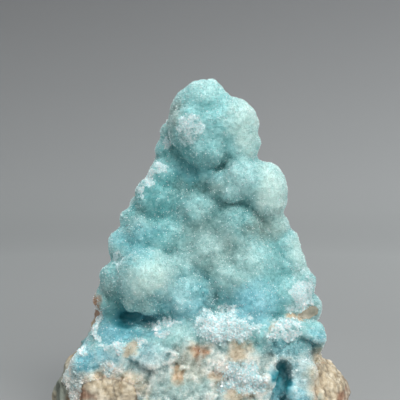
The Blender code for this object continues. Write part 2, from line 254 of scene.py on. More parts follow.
# The crystals that stand on the crust: how many a piece, how far they are sunk into it, how much
# they lean, and the least and most of their ridge, thickness and height, in millimetres.
DRUSE_SEEDS, FIBRES_SEED, SHARDS_SEED = (7, 8), 16, 12
GRAINS = {"count": 48000, "sunk": 0.08, "lean": 0.5,
          "ridge": (0.14, 0.36), "thick": (0.18, 0.40), "tall": (0.08, 0.32)}
FIBRES = {"count": 20000, "sunk": 0.10, "lean": 1.2,
          "ridge": (0.14, 0.30), "thick": (0.20, 0.40), "tall": (0.14, 0.50)}
SHARDS = {"count": 2600, "sunk": 0.35, "lean": 0.9,
          "ridge": (0.35, 0.95), "thick": (0.50, 1.10), "tall": (0.10, 0.75)}
LEAN_DIVISOR = 1.7

# Grains thin out from this depth on, fibres need this much white, and shards end at this height.
THIN_FROM, THIN_FADE = 3, 6
LEAST_WHITE = 0.25
SHARD_HEIGHT, SHARD_FADE = 36, 4
NEVER_NONE = 1e-9

# The backdrop, in metres: its level part, its rim, and the height over which its painted falloff of
# light darkens it.
STAGE_LEVEL, STAGE_RADIUS, STAGE_HEIGHT = 0.40, 1.30, 1.1
STAGE_FADE = 0.25
STAGE_RINGS, STAGE_TURNS = 40, 96

# The light and the camera, in metres. Each lamp: place, size, strength and colour.
LIGHT_AIM = (0.0, 0.0, 0.05)
LAMPS = {
    "key": ((0.32, -0.62, 0.62), 0.62, 8.8, (1.0, 0.99, 0.975)),
    "top": ((0.05, 0.05, 0.95), 0.60, 4.2, (0.97, 0.99, 1.0)),
    "fill": ((-0.50, -0.66, 0.24), 0.60, 2.5, (0.95, 0.98, 1.0)),
}
AIR_COLOUR, AIR_STRENGTH = (0.92, 0.96, 1.0, 1.0), 0.45
CAMERA_LENS, CAMERA_SENSOR = 100.0, 36.0
CAMERA_TARGET = (0.0003, 0.0, 0.0615)
CAMERA_ELEVATION, CAMERA_DISTANCE = 4.0, 0.300

# How strongly the hollows of the skin count in its creases and its valleys, after how many steps
# of smoothing each is measured, and how near a point lies that is on the skin.
# The creases and valleys found here darken the colours of crust and limonite as painted shade.
CREASE_STEPS, CREASE_GAIN = 12, 1.6
VALLEY_STEPS, VALLEY_GAIN = 160, 0.42
ON_SKIN = 0.5

# The broken edge of the crust: its width over the buried face, the height from which it shows,
# and its patches.
EDGE_WIDTH, EDGE_LOWEST, EDGE_FADE = 5.5, 22, 6
EDGE_PATCHES, EDGE_LEAST, EDGE_MORE = (4.0, 51), 0.35, 0.9

# The tints end at this depth, and their patches wander by these kinds of noise. Sugar, the broken
# crust, lies below a line that drops to both sides.
TINT_LAST_DEPTH, TINT_DEPTH_FADE = 9, 6
TINT_WANDER_X = ((2.6, 3.0, 41), (1.1, 1.6, 44))
TINT_WANDER_Z = ((2.6, 3.0, 42), (1.1, 1.6, 45))
SUGAR_HEIGHT, SUGAR_DROP, SUGAR_FADE = 29, 0.12, 4

# How wide a tint's edge is, as a share of its patch: for most tints, and for those with their own.
TINT_FADE = 0.6
TINT_FADES = {"dull_and_shade": 1.1, "sky": 0.9, "mint_and_highlight": 1.1, "painted_shadow": 0.9, "tan": 0.8, "rust": 0.8}

# Where each tint lies on the front: x, z, half width, half height, strength.
TINTS = {
    # Dull and shade: grey-green colour of the crust, with painted shade under the shoulder and the crown
    # and on the crown's left flank.
    "dull_and_shade": (
        (3.5, 50, 9, 10, 0.6),
        (17, 55, 6, 3, 0.9),
        (-7.5, 84.5, 2.2, 5, 0.8),
        (3.4, 65.6, 3.4, 2.6, 0.6),
        (-2.4, 64.8, 5, 3, 0.35),
        (-23.3, 38.6, 2.6, 4.5, 0.5),
        (3.4, 37.4, 2, 3.5, 0.7),
        (-37, 12, 3, 6, 0.9),
        (-17, 56, 4, 3, 0.3),
        (29.4, 32.6, 2.6, 1.6, 0.6),
    ),
    "shade": (
        (-11, 61, 8, 6, 0.6),
        (-17.5, 53, 5, 4, 0.3),
        (-4, 66, 8, 2.5, 0.7),
        (-8.5, 52, 4.5, 3, 0.6),
        (-21.5, 35.5, 3.5, 4.5, 0.6),
        (2.4, 41.5, 2.6, 6, 0.4),
        (0.2, 39, 2, 1.8, 0.8),
        (3.6, 36, 2.2, 2, 1),
        (13.5, 56.5, 7.5, 3, 0.6),
        (-11.5, 37.4, 3.5, 2.5, 0.5),
        (19.5, 23.2, 6, 2, 0.6),
        (5, 57.5, 4, 3.5, 0.4),
        (-6, 73.5, 8, 3, 0.4),
    ),
    "sky": (
        (-3.8, 36.1, 7.5, 6, 0.65),
        (13.6, 35.6, 6.5, 5, 0.8),
        (-21.5, 28.4, 6.5, 2.6, 1),
        (-29.7, 21, 3.6, 3.2, 1),
        (-24, 22.8, 4, 2, 0.8),
        (-13, 31, 4, 2.5, 1),
        (20.7, 15, 3, 5, 1),
        (23, 24.8, 6, 2, 0.5),
        (25, 12.5, 5, 1.5, 0.8),
        (11.5, 68, 3.6, 3.6, 0.25),
        (-18, 51.7, 5, 3.6, 0.4),
        (31, 24.6, 3.4, 3.6, 0.8),
        (25.4, 18, 3.4, 5, 0.45),
        (-14.5, 24, 5.5, 3.2, 0.5),
    ),
    # Mint and highlight: a greener, paler colour of the crust, also a painted highlight on the lit sides
    # of the shoulder, the crown and the big ball.
    "mint_and_highlight": (
        (18.9, 64.3, 4.6, 8.5, 1),
        (12, 81.9, 4.2, 7.5, 0.85),
        (12.8, 75.3, 3, 2.5, 0.7),
        (-12.4, 42.6, 5.6, 4.6, 1),
        (26.5, 48, 2.4, 5, 0.7),
        (10.7, 46, 7, 5, 0.3),
        (-4.8, 15.1, 9, 3.5, 0.5),
        (1.6, 91.5, 6, 2.5, 0.3),
        (11, 67.6, 4.8, 4.8, 0.45),
        (-4.6, 38.4, 4.4, 3.4, 0.4),
        (-5.8, 28.2, 6, 2.6, 0.5),
        (-18.2, 36.4, 1.5, 1.7, 0.7),
        (-14.4, 36, 1.8, 1.4, 0.5),
    ),
    "white": (
        (-2.1, 81.3, 3.6, 3.2, 1.02),
        (-3.4, 77.6, 2.4, 2.4, 0.82),
        (-8.6, 77.4, 1.2, 1.8, 1.5),
        (-13.2, 67.2, 1.7, 1.7, 1.6),
        (-10.8, 69.6, 1.7, 1.7, 1.6),
        (-15.6, 64.2, 1.4, 2.4, 0.9),
        (-21.2, 46.5, 1.4, 1.6, 0.9),
        (26.8, 36.7, 3.9, 4.6, 1.2),
        (26.2, 42.8, 2.6, 3, 0.5),
        (7.6, 64.8, 1, 1.2, 0.5),
        (7.3, 30.2, 7.5, 3.8, 1.3),
        (1.5, 33.3, 1.8, 1.6, 1),
        (8.4, 34.6, 2, 1.2, 0.9),
        (21.6, 29, 5, 3, 1.1),
        (-22.4, 25.4, 4.5, 0.7, 1.2),
        (-14.8, 26.4, 2.6, 0.8, 1.3),
        (-11, 29.3, 2, 0.8, 1.3),
        (-7.2, 31, 3.2, 0.7, 1.3),
        (10.3, 18.2, 6.5, 4.5, 1.1),
        (-32, 16.2, 3, 2.6, 0.65),
        (-31.4, 22.8, 1.2, 1.2, 1.3),
        (-23.6, 20.2, 2.6, 1.6, 0.9),
        (25.5, 18.2, 2.6, 4.6, 0.4),
        (-27, 28.8, 0.8, 2.6, 1.4),
        (-27.4, 31.6, 0.8, 2.4, 1.3),
    ),
    "tan": (
        (-21.9, 15.6, 7, 3.4, 1),
        (-17.3, 25, 1.9, 1.4, 0.8),
        (-5.5, 18.9, 1.9, 2.5, 1),
        (0, 24.7, 2, 2.6, 0.8),
        (9.6, 24.7, 2.4, 2.4, 0.85),
        (4.3, 18.1, 2.6, 1.4, 0.8),
        (9.6, 13.4, 3, 2, 0.8),
        (25, 32.3, 2.6, 1, 1),
        (18.4, 30.4, 1.2, 1.2, 0.7),
        (-2.3, 21.4, 4, 4, 0.35),
        (33.6, 14.5, 5, 8.5, 1),
    ),
    "rust": (
        (0.4, 24.4, 1.3, 2, 0.75),
        (-5.2, 18.2, 1.6, 1.6, 0.3),
        (-28, 34, 2, 3, 1),
        (-28.6, 30.4, 2, 3, 0.6),
        (-29, 12.5, 2.4, 1.2, 0.6),
        (37.7, 10.5, 1.4, 2, 0.7),
        (4.3, 18.6, 2, 1.2, 0.35),
    ),
    # Painted shadow: one flat dark colour in the hollows, the crack, a crevice and under the crown,
    # where shade falls.
    "painted_shadow": (
        (-2.4, 69.2, 7.5, 2, 0.45),
        (-18.5, 31, 4.6, 2.4, 1),
        (-14.6, 30.4, 2.6, 1.8, 0.45),
        (20.9, 17, 2.4, 4.8, 1),
        (-11.6, 53.8, 3, 1, 0.5),
    ),
}

# The colours of each tint, from painted shade in the creases of the crust to painted light on its
# crests.
PALETTES = {
    "teal": (
        (0.0, (0.02, 0.2, 0.21)), (0.3, (0.12, 0.42, 0.43)),
        (0.6, (0.32, 0.65, 0.655)), (1.0, (0.6, 0.87, 0.87)),
    ),
    "dull_and_shade": (
        (0.0, (0.065, 0.145, 0.13)), (0.4, (0.24, 0.375, 0.345)), (1.0, (0.55, 0.7, 0.66)),
    ),
    "sky": (
        (0.0, (0.012, 0.15, 0.21)), (0.35, (0.1, 0.4, 0.48)),
        (0.65, (0.265, 0.635, 0.715)), (1.0, (0.55, 0.87, 0.93)),
    ),
    "mint_and_highlight": (
        (0.0, (0.15, 0.34, 0.32)), (0.4, (0.46, 0.7, 0.67)), (1.0, (0.78, 0.93, 0.88)),
    ),
    "white": (
        (0.0, (0.28, 0.62, 0.65)), (0.35, (0.6, 0.88, 0.9)), (1.0, (0.91, 1.0, 1.0)),
    ),
    "tan": (
        (0.0, (0.3, 0.21, 0.12)), (0.45, (0.57, 0.465, 0.31)), (1.0, (0.85, 0.78, 0.63)),
    ),
    "rust": (
        (0.0, (0.12, 0.045, 0.02)), (0.5, (0.4, 0.19, 0.09)), (1.0, (0.66, 0.4, 0.24)),
    ),
}
# The broken crust's colours, from grey, partly painted shade, to cream.
SUGAR_COLOURS = (
    (0.24, (0.21, 0.33, 0.32)), (0.42, (0.44, 0.59, 0.57)),
    (0.56, (0.72, 0.79, 0.74)), (0.72, (0.88, 0.87, 0.8)),
)
# The flat colour of the painted shadow in the hollows, the crack and under the crown.
PAINTED_SHADOW_COLOUR = (0.024, 0.195, 0.235)
# The colour of the painted white glints on a few grains.
PAINTED_GLINT_COLOUR = (0.86, 0.985, 1.0)
SNOW_COLOURS = (
    (0.0, (0.46, 0.82, 0.85)), (0.45, (0.7, 0.95, 0.97)), (0.8, (0.97, 1.0, 1.0)),
)

# The limonite's colours: its patches, the pale stain on them, and its tints.
ROCK_COLOURS = (
    (0.28, (0.17, 0.105, 0.06)), (0.42, (0.33, 0.215, 0.12)), (0.55, (0.52, 0.38, 0.22)),
    (0.68, (0.68, 0.56, 0.39)), (0.8, (0.44, 0.25, 0.13)),
)
ROCK_TAN = (
    (0.3, (0.32, 0.24, 0.15)), (0.48, (0.49, 0.41, 0.285)), (0.68, (0.69, 0.63, 0.5)),
)
ROCK_PALE = (0.66, 0.6, 0.49)
ROCK_TINTS = {"dull_and_shade": (0.16, 0.19, 0.16), "sky": (0.18, 0.45, 0.49), "rust": (0.26, 0.115, 0.065)}

# The backdrop's grey over its height and its shades from left to right and out from the middle: painted
# falloff of light, and painted shade near the specimen.
STAGE_GREY_AND_PAINTED_FALLOFF = (
    (0.0, (0.412, 0.424, 0.422)), (0.05, (0.432, 0.444, 0.442)), (0.11, (0.43, 0.44, 0.44)),
    (0.24, (0.402, 0.411, 0.412)), (0.46, (0.362, 0.369, 0.371)),
    (0.77, (0.316, 0.321, 0.324)), (1.0, (0.29, 0.294, 0.298)),
)
STAGE_PAINTED_SIDE_FALLOFF = ((0.35, 0.705), (0.65, 1.0))
STAGE_PAINTED_FLOOR_SHADE = ((0.3, 0.785), (0.39, 0.81), (0.52, 0.866), (0.67, 0.93), (0.8, 1.0))


def link(obj):
    bpy.context.scene.collection.objects.link(obj)
    return obj


def object_of(bm, name):
    mesh = bpy.data.meshes.new(name)
    bm.to_mesh(mesh)
    bm.free()
    return link(bpy.data.objects.new(name, mesh))


def placed(centre, half_sizes, tilt=0.0):
    turned = Matrix.Rotation(math.radians(tilt), 4, "Y")
    scaled = Matrix.Diagonal((*[size * MM for size in half_sizes], 1.0))
    return Matrix.Translation(Vector(centre) * MM) @ turned @ scaled


def ball_pattern(detail):
    bm = bmesh.new()
    bmesh.ops.create_icosphere(bm, subdivisions=detail, radius=1.0)
    points = np.array([v.co for v in bm.verts])
    faces = np.array([[v.index for v in f.verts] for f in bm.faces])
    bm.free()
    return points, faces


def balls_object(name, balls, detail):
    """One object of many balls, each given as its centre, its half sizes and its tilt."""
    points, faces = ball_pattern(detail)
    places = [np.array(placed(*ball)) for ball in balls]
    verts = np.concatenate([points @ where[:3, :3].T + where[:3, 3] for where in places])
    shift = (np.arange(len(places)) * len(points))[:, None, None]
    corners = (faces[None] + shift).reshape(-1, 3)
    mesh = bpy.data.meshes.new(name)
    mesh.from_pydata(verts.tolist(), [], corners.tolist())
    return link(bpy.data.objects.new(name, mesh))


def joined(first, *others):
    """The meshes of several objects as the first one's mesh; the others go."""
    bm = bmesh.new()
    for obj in (first, *others):
        bm.from_mesh(obj.data)
    bm.to_mesh(first.data)
    bm.free()
    for obj in others:
        bpy.data.objects.remove(obj)
    return first


def add_loft(bm, sections, power):
    rings = []
    for height, left, right, front, back in sections:
        middle = Vector(((left + right) / 2, (front + back) / 2, height)) * MM
        half_x, half_y = (right - left) / 2 * MM, (back - front) / 2 * MM
        ring = []
        for k in range(RING_POINTS):
            c, s = math.cos(math.tau * k / RING_POINTS), math.sin(math.tau * k / RING_POINTS)
            reach = (abs(c) ** power + abs(s) ** power) ** (-1 / power)
            ring.append(bm.verts.new(middle + Vector((c * reach * half_x, s * reach * half_y, 0))))
        rings.append(ring)
    for low, high in zip(rings, rings[1:]):
        for k in range(RING_POINTS):
            after = (k + 1) % RING_POINTS
            bm.faces.new((low[k], low[after], high[after], high[k]))
    bm.faces.new(list(reversed(rings[0])))
    bm.faces.new(rings[-1])


def evaluated_mesh(obj):
    bpy.context.view_layer.update()
    graph = bpy.context.evaluated_depsgraph_get()
    return bpy.data.meshes.new_from_object(obj.evaluated_get(graph))


def apply_modifiers(obj):
    made = evaluated_mesh(obj)
    obj.modifiers.clear()
    obj.data = made
    return obj


def melt(obj, steps):
    smooth = obj.modifiers.new("melt", "SMOOTH")
    smooth.factor = 0.5
    smooth.iterations = steps
    return apply_modifiers(obj)


def fuse(obj, voxel, smoothing):
    remesh = obj.modifiers.new("fuse", "REMESH")
    remesh.mode = "VOXEL"
    remesh.voxel_size = voxel * MM
    apply_modifiers(obj)
    return melt(obj, smoothing)


def boolean(obj, other, operation):
    cut = obj.modifiers.new(operation.lower(), "BOOLEAN")
    cut.operation = operation
    cut.solver = "MANIFOLD"
    cut.object = other
    return apply_modifiers(obj)


def keep_largest_body(obj):
    bm = bmesh.new()
    bm.from_mesh(obj.data)
    unseen = set(bm.verts)
    bodies = []
    while unseen:
        front = [unseen.pop()]
        body = set(front)
        while front:
            for edge in front.pop().link_edges:
                for other in edge.verts:
                    if other in unseen:
                        unseen.discard(other)
                        body.add(other)
                        front.append(other)
        bodies.append(body)
    bodies.sort(key=len, reverse=True)
    bmesh.ops.delete(bm, geom=[v for body in bodies[1:] for v in body], context="VERTS")
    bm.to_mesh(obj.data)
    bm.free()


def coordinates(mesh, key="co"):
    values = np.empty(len(mesh.vertices) * 3)
    mesh.vertices.foreach_get(key, values)
    return values.reshape(-1, 3)


def push_out(obj, depth_at):
    """Moves every vertex along its normal by what depth_at gives for it, in millimetres."""
    mesh = obj.data
    points = coordinates(mesh)
    points = points + coordinates(mesh, "normal") * (depth_at(points) * MM)[:, None]
    mesh.vertices.foreach_set("co", points.ravel())
    mesh.update()


def surface_tree(obj):
    bm = bmesh.new()
    bm.from_mesh(obj.data)
    tree = BVHTree.FromBMesh(bm)
    bm.free()
    return tree


def sprinkled_lumps(tree):
    """Small lumps on the grown crust, as centre and radius, where random shots meet the form."""
    rng = random.Random(SPRINKLE_SEED)
    lumps = []
    tries = 0
    while len(lumps) < SPRINKLE_COUNT and tries < SPRINKLE_TRIES:
        tries += 1
        height = rng.uniform(*SHOT_HEIGHTS)
        turn = math.radians(rng.uniform(*SHOT_TURNS))
        lift = math.radians(rng.uniform(*SHOT_LIFTS))
        level = math.cos(lift)
        outwards = Vector((math.sin(turn) * level, -math.cos(turn) * level, math.sin(lift)))
        side = rng.uniform(*SHOT_SIDES) * (1 - height / SHOT_NARROWING)
        aim = Vector((side, SHOT_DEPTH, height)) * MM
        hit, normal, _, _ = tree.ray_cast(aim + outwards * SHOT_START, -outwards)
        radius = rng.uniform(SPRINKLE_LOW, SPRINKLE_HIGH)
        kept_on_dome = rng.random() < SPRINKLE_DOME_SHARE
        if hit is None or hit.z < LOWEST_LUMP * MM or hit.y > LAST_LUMP_DEPTH * MM:
            continue
        on_dome = any((hit - Vector(at) * MM).length < reach * MM for at, reach in DOMES)
        if on_dome and not kept_on_dome:
            continue
        if any((hit - spot).length < SPRINKLE_SPACING * MM for spot, _, _ in lumps):
            continue
        lumps.append((hit, normal, radius))
    return [(spot / MM - normal * radius * SPRINKLE_SUNK, radius) for spot, normal, radius in lumps]


def crust_share(points):
    """For each point in metres: 1 on the grown blue crust, 0 on broken limonite."""
    x, y, z = (points / MM).T
    behind = np.clip((y - BACK_FACE - BACK_LEAN * z) / BACK_FADE, 0, 1)
    rim = np.clip(RIM_HEIGHT + RIM_SLANT * x, RIM_LOWEST, RIM_HIGHEST)
    low = np.clip((rim - z) / RIM_FADE, 0, 1)
    return np.clip(1 - np.maximum(behind, low), 0, 1)


def draw(cell, seed, lane):
    """A random number from 0 to 1 for each cell, the same whenever seed and lane are the same."""
    scrambled = [cell[:, axis] * prime for axis, prime in enumerate(CELL_PRIMES)]
    key = scrambled[0] ^ scrambled[1] ^ scrambled[2]
    key = (key + seed * SEED_PRIME + lane * LANE_PRIME) & LARGEST_KEY
    return np.modf(np.abs(np.sin(key % KEY_WRAP * SINE_TURN) * SINE_SCALE))[0]


def cells(points, size, seed, lanes=6):
    """Worley cells: the distance to the nearest feature point, its offset and random numbers."""
    grid = points / (size * MM)
    base = np.floor(grid).astype(np.int64)
    best = np.full(len(points), np.inf)
    offset = np.zeros_like(points)
    chance = np.zeros((len(points), lanes - 3))
    steps = [(i, j, k) for i in (-1, 0, 1) for j in (-1, 0, 1) for k in (-1, 0, 1)]
    for step in steps:
        cell = base + np.array(step)
        draws = [draw(cell, seed, lane) for lane in range(lanes)]
        apart = grid - cell - np.stack(draws[:3], 1)
        distance = np.linalg.norm(apart, axis=1)
        nearer = distance < best
        best[nearer] = distance[nearer]
        offset[nearer] = apart[nearer]
        if lanes > 3:
            chance[nearer] = np.stack(draws[3:], 1)[nearer]
    return best, offset, chance


def noise(points, size, seed):
    """Smooth random values from 0 to 1."""
    grid = points / (size * MM)
    base = np.floor(grid).astype(np.int64)
    part = grid - base
    part = part * part * (3 - 2 * part)
    total = np.zeros(len(points))
    for i in (0, 1):
        for j in (0, 1):
            for k in (0, 1):
                weight = np.ones(len(points))
                for axis, side in enumerate((i, j, k)):
                    weight = weight * (part[:, axis] if side else 1 - part[:, axis])
                total += weight * draw(base + np.array((i, j, k)), seed, 0)
    return total


def ragged(points, kind):
    """Smooth noise round 0, of one kind of relief."""
    size, depth, seed = kind
    return (noise(points, size, seed) - 0.5) * depth


def facets(points, kind):
    """Tilted facets round 0, one a cell, of one kind of relief."""
    size, depth, seed = kind
    _, offset, chance = cells(points, size, seed)
    return (((chance - 0.5) * offset).sum(1) + 0.5 * (chance[:, 0] - 0.5)) * depth


def domed(points, kind, level):
    """Round buds, one a cell, of one kind of relief."""
    size, depth, seed = kind
    apart, _, _ = cells(points, size, seed, 3)
    return (level - apart * apart) * depth


def coarse_relief(points):
    """The relief that the solids have too: broken facets on the limonite."""
    torn = 1 - crust_share(points)
    return torn * (facets(points, COARSE_FACETS) + facets(points, FINE_FACETS))


def grown_relief(points):
    """Buds and grains on the grown crust."""
    swell = SWELL_LEAST + SWELL_MORE * noise(points, *SWELL_PATCHES)
    return domed(points, BUDS, BUD_LEVEL) * swell + domed(points, GRAIN, GRAIN_LEVEL)


def pitted(points):
    """Round pits in patches of the broken rock."""
    size, depth, seed = PITS
    apart, _, _ = cells(points, size, seed, 3)
    in_patch = noise(points, *PIT_PATCHES) > PIT_FREE_SHARE
    return -np.clip(PIT_REACH - apart, 0, 1) * depth * in_patch


def broken_relief(points):
    """Blocks, chips, crumbs and pits on the broken rock."""
    torn = facets(points, BLOCKS) + facets(points, CHIPS) + facets(points, CRUMBS)
    return torn + pitted(points) + ragged(points, ROUGHNESS)


def fine_relief(points):
    crust = crust_share(points)
    depth = np.zeros(len(points))
    grown, torn = crust > 0, crust < 1
    depth[grown] += crust[grown] * grown_relief(points[grown])
    depth[torn] += (1 - crust[torn]) * broken_relief(points[torn])
    return depth


def raw_form():
    """The two lofts and all lobes in one mesh, still passing through each other."""
    bm = bmesh.new()
    add_loft(bm, PLINTH, PLINTH_POWER)
    add_loft(bm, BODY, BODY_POWER)
    lofts = object_of(bm, "skin")
    lobes = [((x, y, z), (radius,) * 3) for group in (CROWN, SHOULDER, SLOPE, BALL, LEDGE)
             for x, y, z, radius in group]
    return joined(lofts, balls_object("lobes", (*lobes, NUB, NUB_STALK), BALL_DETAIL))


def make_skin():
    """The whole rock as one fine skin: its form fused, its hollows cut, its relief pushed out."""
    skin = raw_form()
    lumps = [(centre, (radius,) * 3) for centre, radius in sprinkled_lumps(surface_tree(skin))]
    fuse(skin, FORM_VOXEL, FORM_SMOOTHING)
    joined(skin, balls_object("lumps", lumps, LUMP_DETAIL))
    fuse(skin, SKIN_VOXEL, LUMP_SMOOTHING)
    for hollow in HOLLOWS:
        cutter = balls_object("hollow", (hollow,), BALL_DETAIL)
        boolean(skin, cutter, "DIFFERENCE")
        bpy.data.objects.remove(cutter)
    fuse(skin, SKIN_VOXEL, HOLLOW_SMOOTHING)
    push_out(skin, coarse_relief)
    melt(skin, COARSE_SMOOTHING)
    push_out(skin, fine_relief)
    melt(skin, FINE_SMOOTHING)
    return skin


def hollowness(obj, steps):
    """How far each vertex lies under the smoothed surface, in millimetres: above 0 in a crease."""
    points = coordinates(obj.data)
    normals = coordinates(obj.data, "normal")
    copy = link(obj.copy())
    copy.data = obj.data.copy()
    melt(copy, steps)
    smooth = coordinates(copy.data)
    bpy.data.objects.remove(copy)
    return ((smooth - points) * normals).sum(1) / MM


def find_creases(skin):
    """The skin's points to look up, and how hollow it is there over a short and a long reach."""
    fine = hollowness(skin, CREASE_STEPS)
    wide = hollowness(skin, VALLEY_STEPS)
    points = coordinates(skin.data)
    tree = KDTree(len(points))
    for k, point in enumerate(points):
        tree.insert(point, k)
    tree.balance()
    return tree, fine, wide


def cut_flat(obj):
    bm = bmesh.new()
    bm.from_mesh(obj.data)
    everything = bm.verts[:] + bm.edges[:] + bm.faces[:]
    foot = {"plane_co": (0, 0, 0), "plane_no": (0, 0, 1)}
    bmesh.ops.bisect_plane(bm, geom=everything, clear_inner=True, **foot)
    rim = [edge for edge in bm.edges if edge.is_boundary]
    bmesh.ops.contextual_create(bm, geom=rim)
    bmesh.ops.triangulate(bm, faces=[f for f in bm.faces if len(f.verts) > 4])
    bmesh.ops.recalc_face_normals(bm, faces=bm.faces[:])
    bm.to_mesh(obj.data)
    bm.free()


def waves(points):
    """The waves of the limonite's buried face, with a ragged edge on them."""
    x, _, z = (points / MM).T
    first = np.sin(x / FIRST_WAVE[0] + z / FIRST_WAVE[1])
    second = np.sin(z / SECOND_WAVE[1] - x / SECOND_WAVE[0] + SECOND_WAVE_TURN)
    coarse_edge, fine_edge = WAVE_EDGES
    return (first + second) * WAVE_DEPTH + ragged(points, coarse_edge) + ragged(points, fine_edge)


def matrix_slab():
    """The limonite's side outline, drawn out across the whole specimen."""
    outline = bpy.data.curves.new("outline", "CURVE")
    outline.dimensions = "2D"
    outline.fill_mode = "BOTH"
    outline.extrude = MATRIX_HALF_WIDTH * MM
    spline = outline.splines.new("POLY")
    spline.use_cyclic_u = True
    spline.points.add(len(MATRIX_PROFILE) - 1)
    for point, (depth, height) in zip(spline.points, MATRIX_PROFILE):
        point.co = (depth * MM, height * MM, 0, 1)
    slab = link(bpy.data.objects.new("slab", outline))
    slab.rotation_euler = (math.radians(90), 0, math.radians(90))
    slab_mesh = evaluated_mesh(slab)
    slab_mesh.transform(slab.matrix_world)
    bm = bmesh.new()
    bm.from_mesh(slab_mesh)
    bmesh.ops.remove_doubles(bm, verts=bm.verts[:], dist=0.01 * MM)
    bpy.data.objects.remove(slab)
    return object_of(bm, "region")


def matrix_region(grow):
    """The space that the limonite takes up in the skin, grown by a few hundredths if asked to."""
    knobs = (*MATRIX_KNOBS, NUB, NUB_STALK)
    region = joined(matrix_slab(), balls_object("knobs", knobs, LUMP_DETAIL))
    fuse(region, REGION_VOXEL, REGION_SMOOTHING)
    push_out(region, waves)
    push_out(region, lambda points: np.full(len(points), grow))
    return region


def part_off(skin, name, operation, grow):
    region = matrix_region(grow)
    piece = link(bpy.data.objects.new(name, skin.data.copy()))
    boolean(piece, region, operation)
    bpy.data.objects.remove(region)
    keep_largest_body(piece)
    return piece


def write_values(mesh, values):
    for name, numbers in values.items():
        attribute = mesh.attributes.new(name, "FLOAT", "POINT")
        attribute.data.foreach_set("value", np.asarray(numbers, dtype=np.float32))


def tint_values(points):
    """How strongly each tint lies at each point, with ragged edges."""
    x, y, z = (points / MM).T
    x = x + sum(ragged(points, kind) for kind in TINT_WANDER_X)
    z = z + sum(ragged(points, kind) for kind in TINT_WANDER_Z)
    front = np.clip((TINT_LAST_DEPTH - y) / TINT_DEPTH_FADE, 0, 1)
    made = {}
    for name, patches in TINTS.items():
        fade = TINT_FADES.get(name, TINT_FADE)
        total = np.zeros(len(points))
        for at_x, at_z, half_x, half_z, strength in patches:
            reach = np.hypot((x - at_x) / half_x, (z - at_z) / half_z)
            total = np.maximum(total, np.clip((1 + fade / 2 - reach) / fade, 0, 1) * strength)
        made[name] = total * front
    sugar = np.clip((SUGAR_HEIGHT - z - SUGAR_DROP * np.abs(x)) / SUGAR_FADE, 0, 1)
    made["sugar"] = sugar * front
    return made


def ahead_of_matrix(points):
    """How far each point lies in front of the limonite's buried face, in millimetres."""
    _, y, z = (points / MM).T
    depths, heights = zip(*MATRIX_PROFILE[MATRIX_FACE])
    return np.interp(z, heights, depths) - y


def broken_edge(points):
    """How strongly each point belongs to the crust's broken edge, over the buried face."""
    near = np.clip(1 - ahead_of_matrix(points) / EDGE_WIDTH, 0, 1)
    high = np.clip((points[:, 2] / MM - EDGE_LOWEST) / EDGE_FADE, 0, 1)
    return near * high * (EDGE_LEAST + EDGE_MORE * noise(points, *EDGE_PATCHES))


def paint(piece, creases):
    """Writes the tints and the creases of the skin to a piece parted from it."""
    tree, fine, wide = creases
    points = coordinates(piece.data)
    nearest = np.array([tree.find(p)[1:] for p in points])
    index = nearest[:, 0].astype(int)
    values = tint_values(points)
    values["crease"] = np.clip(0.5 + fine[index] * CREASE_GAIN, 0, 1)
    values["valley"] = np.clip(0.5 + wide[index] * VALLEY_GAIN, 0, 1)
    values["broken"] = broken_edge(points)
    values["outside"] = nearest[:, 1] < ON_SKIN * MM
    write_values(piece.data, values)
    return values


def material(name):
    made = bpy.data.materials.new(name)
    made.use_nodes = True
    return made, made.node_tree, made.node_tree.nodes["Principled BSDF"]


def node(tree, kind, **settings):
    made = tree.nodes.new(kind)
    for key, value in settings.items():
        if key in made.inputs:
            made.inputs[key].default_value = value
        else:
            setattr(made, key, value)
    return made


def attribute(tree, name):
    return node(tree, "ShaderNodeAttribute", attribute_name=name).outputs["Fac"]


def texture_noise(tree, scale, detail=4.0, roughness=0.55):
    where = node(tree, "ShaderNodeTexCoord").outputs["Object"]
    made = node(tree, "ShaderNodeTexNoise", Scale=scale, Detail=detail, Roughness=roughness)
    tree.links.new(where, made.inputs["Vector"])
    return made.outputs["Fac"]


def vein_noise(tree):
    """Noise drawn out upwards, for the dark seams of the limonite."""
    where = node(tree, "ShaderNodeTexCoord").outputs["Object"]
    drawn = node(tree, "ShaderNodeVectorMath", operation="MULTIPLY")
    tree.links.new(where, drawn.inputs[0])
    drawn.inputs[1].default_value = (1.0, 1.0, 0.3)
    made = node(tree, "ShaderNodeTexNoise", Scale=130.0, Detail=5.0, Roughness=0.6)
    tree.links.new(drawn.outputs[0], made.inputs["Vector"])
    return made.outputs["Fac"]


def texture_cells(tree, scale):
    where = node(tree, "ShaderNodeTexCoord").outputs["Object"]
    made = node(tree, "ShaderNodeTexVoronoi", Scale=scale)
    tree.links.new(where, made.inputs["Vector"])
    return made.outputs["Distance"]


def ramp(tree, factor, stops):
    made = node(tree, "ShaderNodeValToRGB")
    line = made.color_ramp
    while len(line.elements) < len(stops):
        line.elements.new(0.5)
    for element, (place, colour) in zip(line.elements, stops):
        element.position = place
        element.color = (*colour, 1.0)
    tree.links.new(factor, made.inputs["Fac"])
    return made.outputs["Color"]


def grey_ramp(tree, factor, stops):
    return ramp(tree, factor, [(place, (grey,) * 3) for place, grey in stops])


def mix(tree, factor, first, second, blend="MIX"):
    made = node(tree, "ShaderNodeMix", data_type="RGBA", blend_type=blend)
    for socket, value in ((made.inputs[0], factor), (made.inputs[6], first), (made.inputs[7], second)):
        if isinstance(value, bpy.types.NodeSocket):
            tree.links.new(value, socket)
        elif isinstance(value, tuple):
            socket.default_value = (*value, 1.0)
        else:
            socket.default_value = value
    return made.outputs[2]


